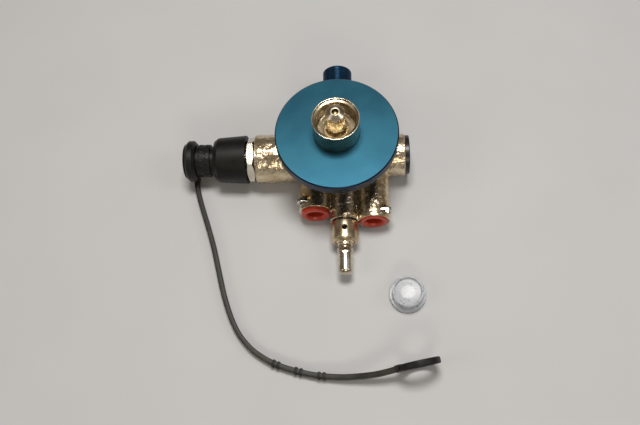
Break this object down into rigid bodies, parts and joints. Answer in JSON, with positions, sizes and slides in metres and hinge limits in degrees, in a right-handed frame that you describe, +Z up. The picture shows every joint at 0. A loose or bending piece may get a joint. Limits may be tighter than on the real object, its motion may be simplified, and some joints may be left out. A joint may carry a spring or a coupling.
{
  "type": "flow control valve",
  "caption": "Nickel-plated pneumatic flow control valve with a round anodised flange, a coupling cup, push-in tube ports, a vent plunger, an adjusting knob and a tethered dust cap.",
  "frame": {"origin": "on the flat foot of the body, under the axis of the round flange", "axes": "+Z up along the flange's axis, +X towards the side port, -Y towards the front ports"},
  "size_m": [0.1284, 0.1667, 0.0592],
  "materials": {
    "nickel_plate": "bright nickel plate on brass",
    "teal_anodised": "satin teal anodised",
    "navy_anodised": "finely ribbed navy anodised",
    "black_rubber": "matt moulded rubber",
    "seal_rubber": "matt nitrile rubber",
    "red_plastic": "moulded acetal",
    "black_plastic": "moulded acetal",
    "clear_plastic": "milky polyethylene",
    "stainless_steel": "drawn and ground stainless steel",
    "bare_brass": "turned brass"
  },
  "bodies": {
    "root": {"valve_body": "nickel_plate", "top_flange": "teal_anodised", "coupling_cup": "nickel_plate", "cup_seal": "seal_rubber", "nozzle": "nickel_plate", "nozzle_spring_seat": "bare_brass", "nozzle_spring": "stainless_steel", "left_port_sleeve": "bare_brass", "left_grab_ring": "stainless_steel", "left_port_seal": "seal_rubber", "left_retaining_clip": "stainless_steel", "right_port_sleeve": "bare_brass", "right_grab_ring": "stainless_steel", "right_port_seal": "seal_rubber", "right_retaining_clip": "stainless_steel", "side_port_sleeve": "bare_brass", "side_grab_ring": "stainless_steel", "side_port_seal": "seal_rubber", "inlet_washer": "seal_rubber", "inlet_adapter": "nickel_plate", "inlet_spring_seat": "bare_brass", "inlet_spring": "stainless_steel", "vent_body": "nickel_plate", "vent_seal": "seal_rubber", "vent_gland": "nickel_plate", "plunger_spring": "stainless_steel", "needle_seat": "bare_brass", "bonnet_washer": "seal_rubber", "bonnet": "nickel_plate", "stem_seal": "seal_rubber", "knob_circlip": "stainless_steel"},
    "nozzle_poppet": {"nozzle_poppet": "bare_brass"},
    "left_collar": {"left_release_collar": "red_plastic"},
    "right_collar": {"right_release_collar": "red_plastic"},
    "side_collar": {"side_release_collar": "black_plastic"},
    "inlet_poppet": {"inlet_poppet": "bare_brass"},
    "plunger": {"plunger": "nickel_plate"},
    "knob": {"adjusting_knob": "navy_anodised"},
    "needle": {"needle": "stainless_steel"},
    "dust_cap": {"dust_cap": "black_rubber", "tether_collar": "black_rubber", "tether_strap": "black_rubber", "tether_loop": "black_rubber"},
    "port_plug": {"port_plug": "clear_plastic"}
  },
  "joints": [
    {"name": "nozzle_poppet_press", "type": "slide", "parent": "root", "child": "nozzle_poppet", "axis": [0, 0, -1], "range_m": [0, 0.002], "stiffness_N_per_m": 900, "springref_m": -0.002, "deforming": ["nozzle_spring"]},
    {"name": "left_collar_press", "type": "slide", "parent": "root", "child": "left_collar", "axis": [0, 1, 0], "range_m": [0, 0.0012], "stiffness_N_per_m": 1500, "springref_m": -0.001},
    {"name": "right_collar_press", "type": "slide", "parent": "root", "child": "right_collar", "axis": [0, 1, 0], "range_m": [0, 0.0012], "stiffness_N_per_m": 1500, "springref_m": -0.001},
    {"name": "side_collar_press", "type": "slide", "parent": "root", "child": "side_collar", "axis": [-1, 0, 0], "range_m": [0, 0.0012], "stiffness_N_per_m": 1500, "springref_m": -0.001},
    {"name": "inlet_poppet_press", "type": "slide", "parent": "root", "child": "inlet_poppet", "axis": [1, 0, 0], "range_m": [0, 0.003], "stiffness_N_per_m": 900, "springref_m": -0.002, "deforming": ["inlet_spring"]},
    {"name": "plunger_press", "type": "slide", "parent": "root", "child": "plunger", "axis": [0, 1, 0], "range_m": [0, 0.001], "stiffness_N_per_m": 1200, "springref_m": -0.002, "deforming": ["plunger_spring"]},
    {"name": "knob_turn", "type": "hinge", "parent": "root", "child": "knob", "pos_m": [0, 0.03, 0.0129], "axis": [0, 1, 0], "range_deg": [0, 720]},
    {"name": "needle_travel", "type": "slide", "parent": "knob", "child": "needle", "axis": [0, 1, 0], "range_m": [0, 0.0015]},
    {"name": "dust_cap_pull", "type": "slide", "parent": "root", "child": "dust_cap", "axis": [-1, 0, 0], "range_m": [0, 0.03]},
    {"name": "port_plug_lift", "type": "slide", "parent": "root", "child": "port_plug", "axis": [0, 0, 1], "range_m": [0, 0.03]}
  ],
  "couplings": [
    {"joint": "needle_travel", "follows": "knob_turn", "m_per_rad": 0.0001193}
  ]
}
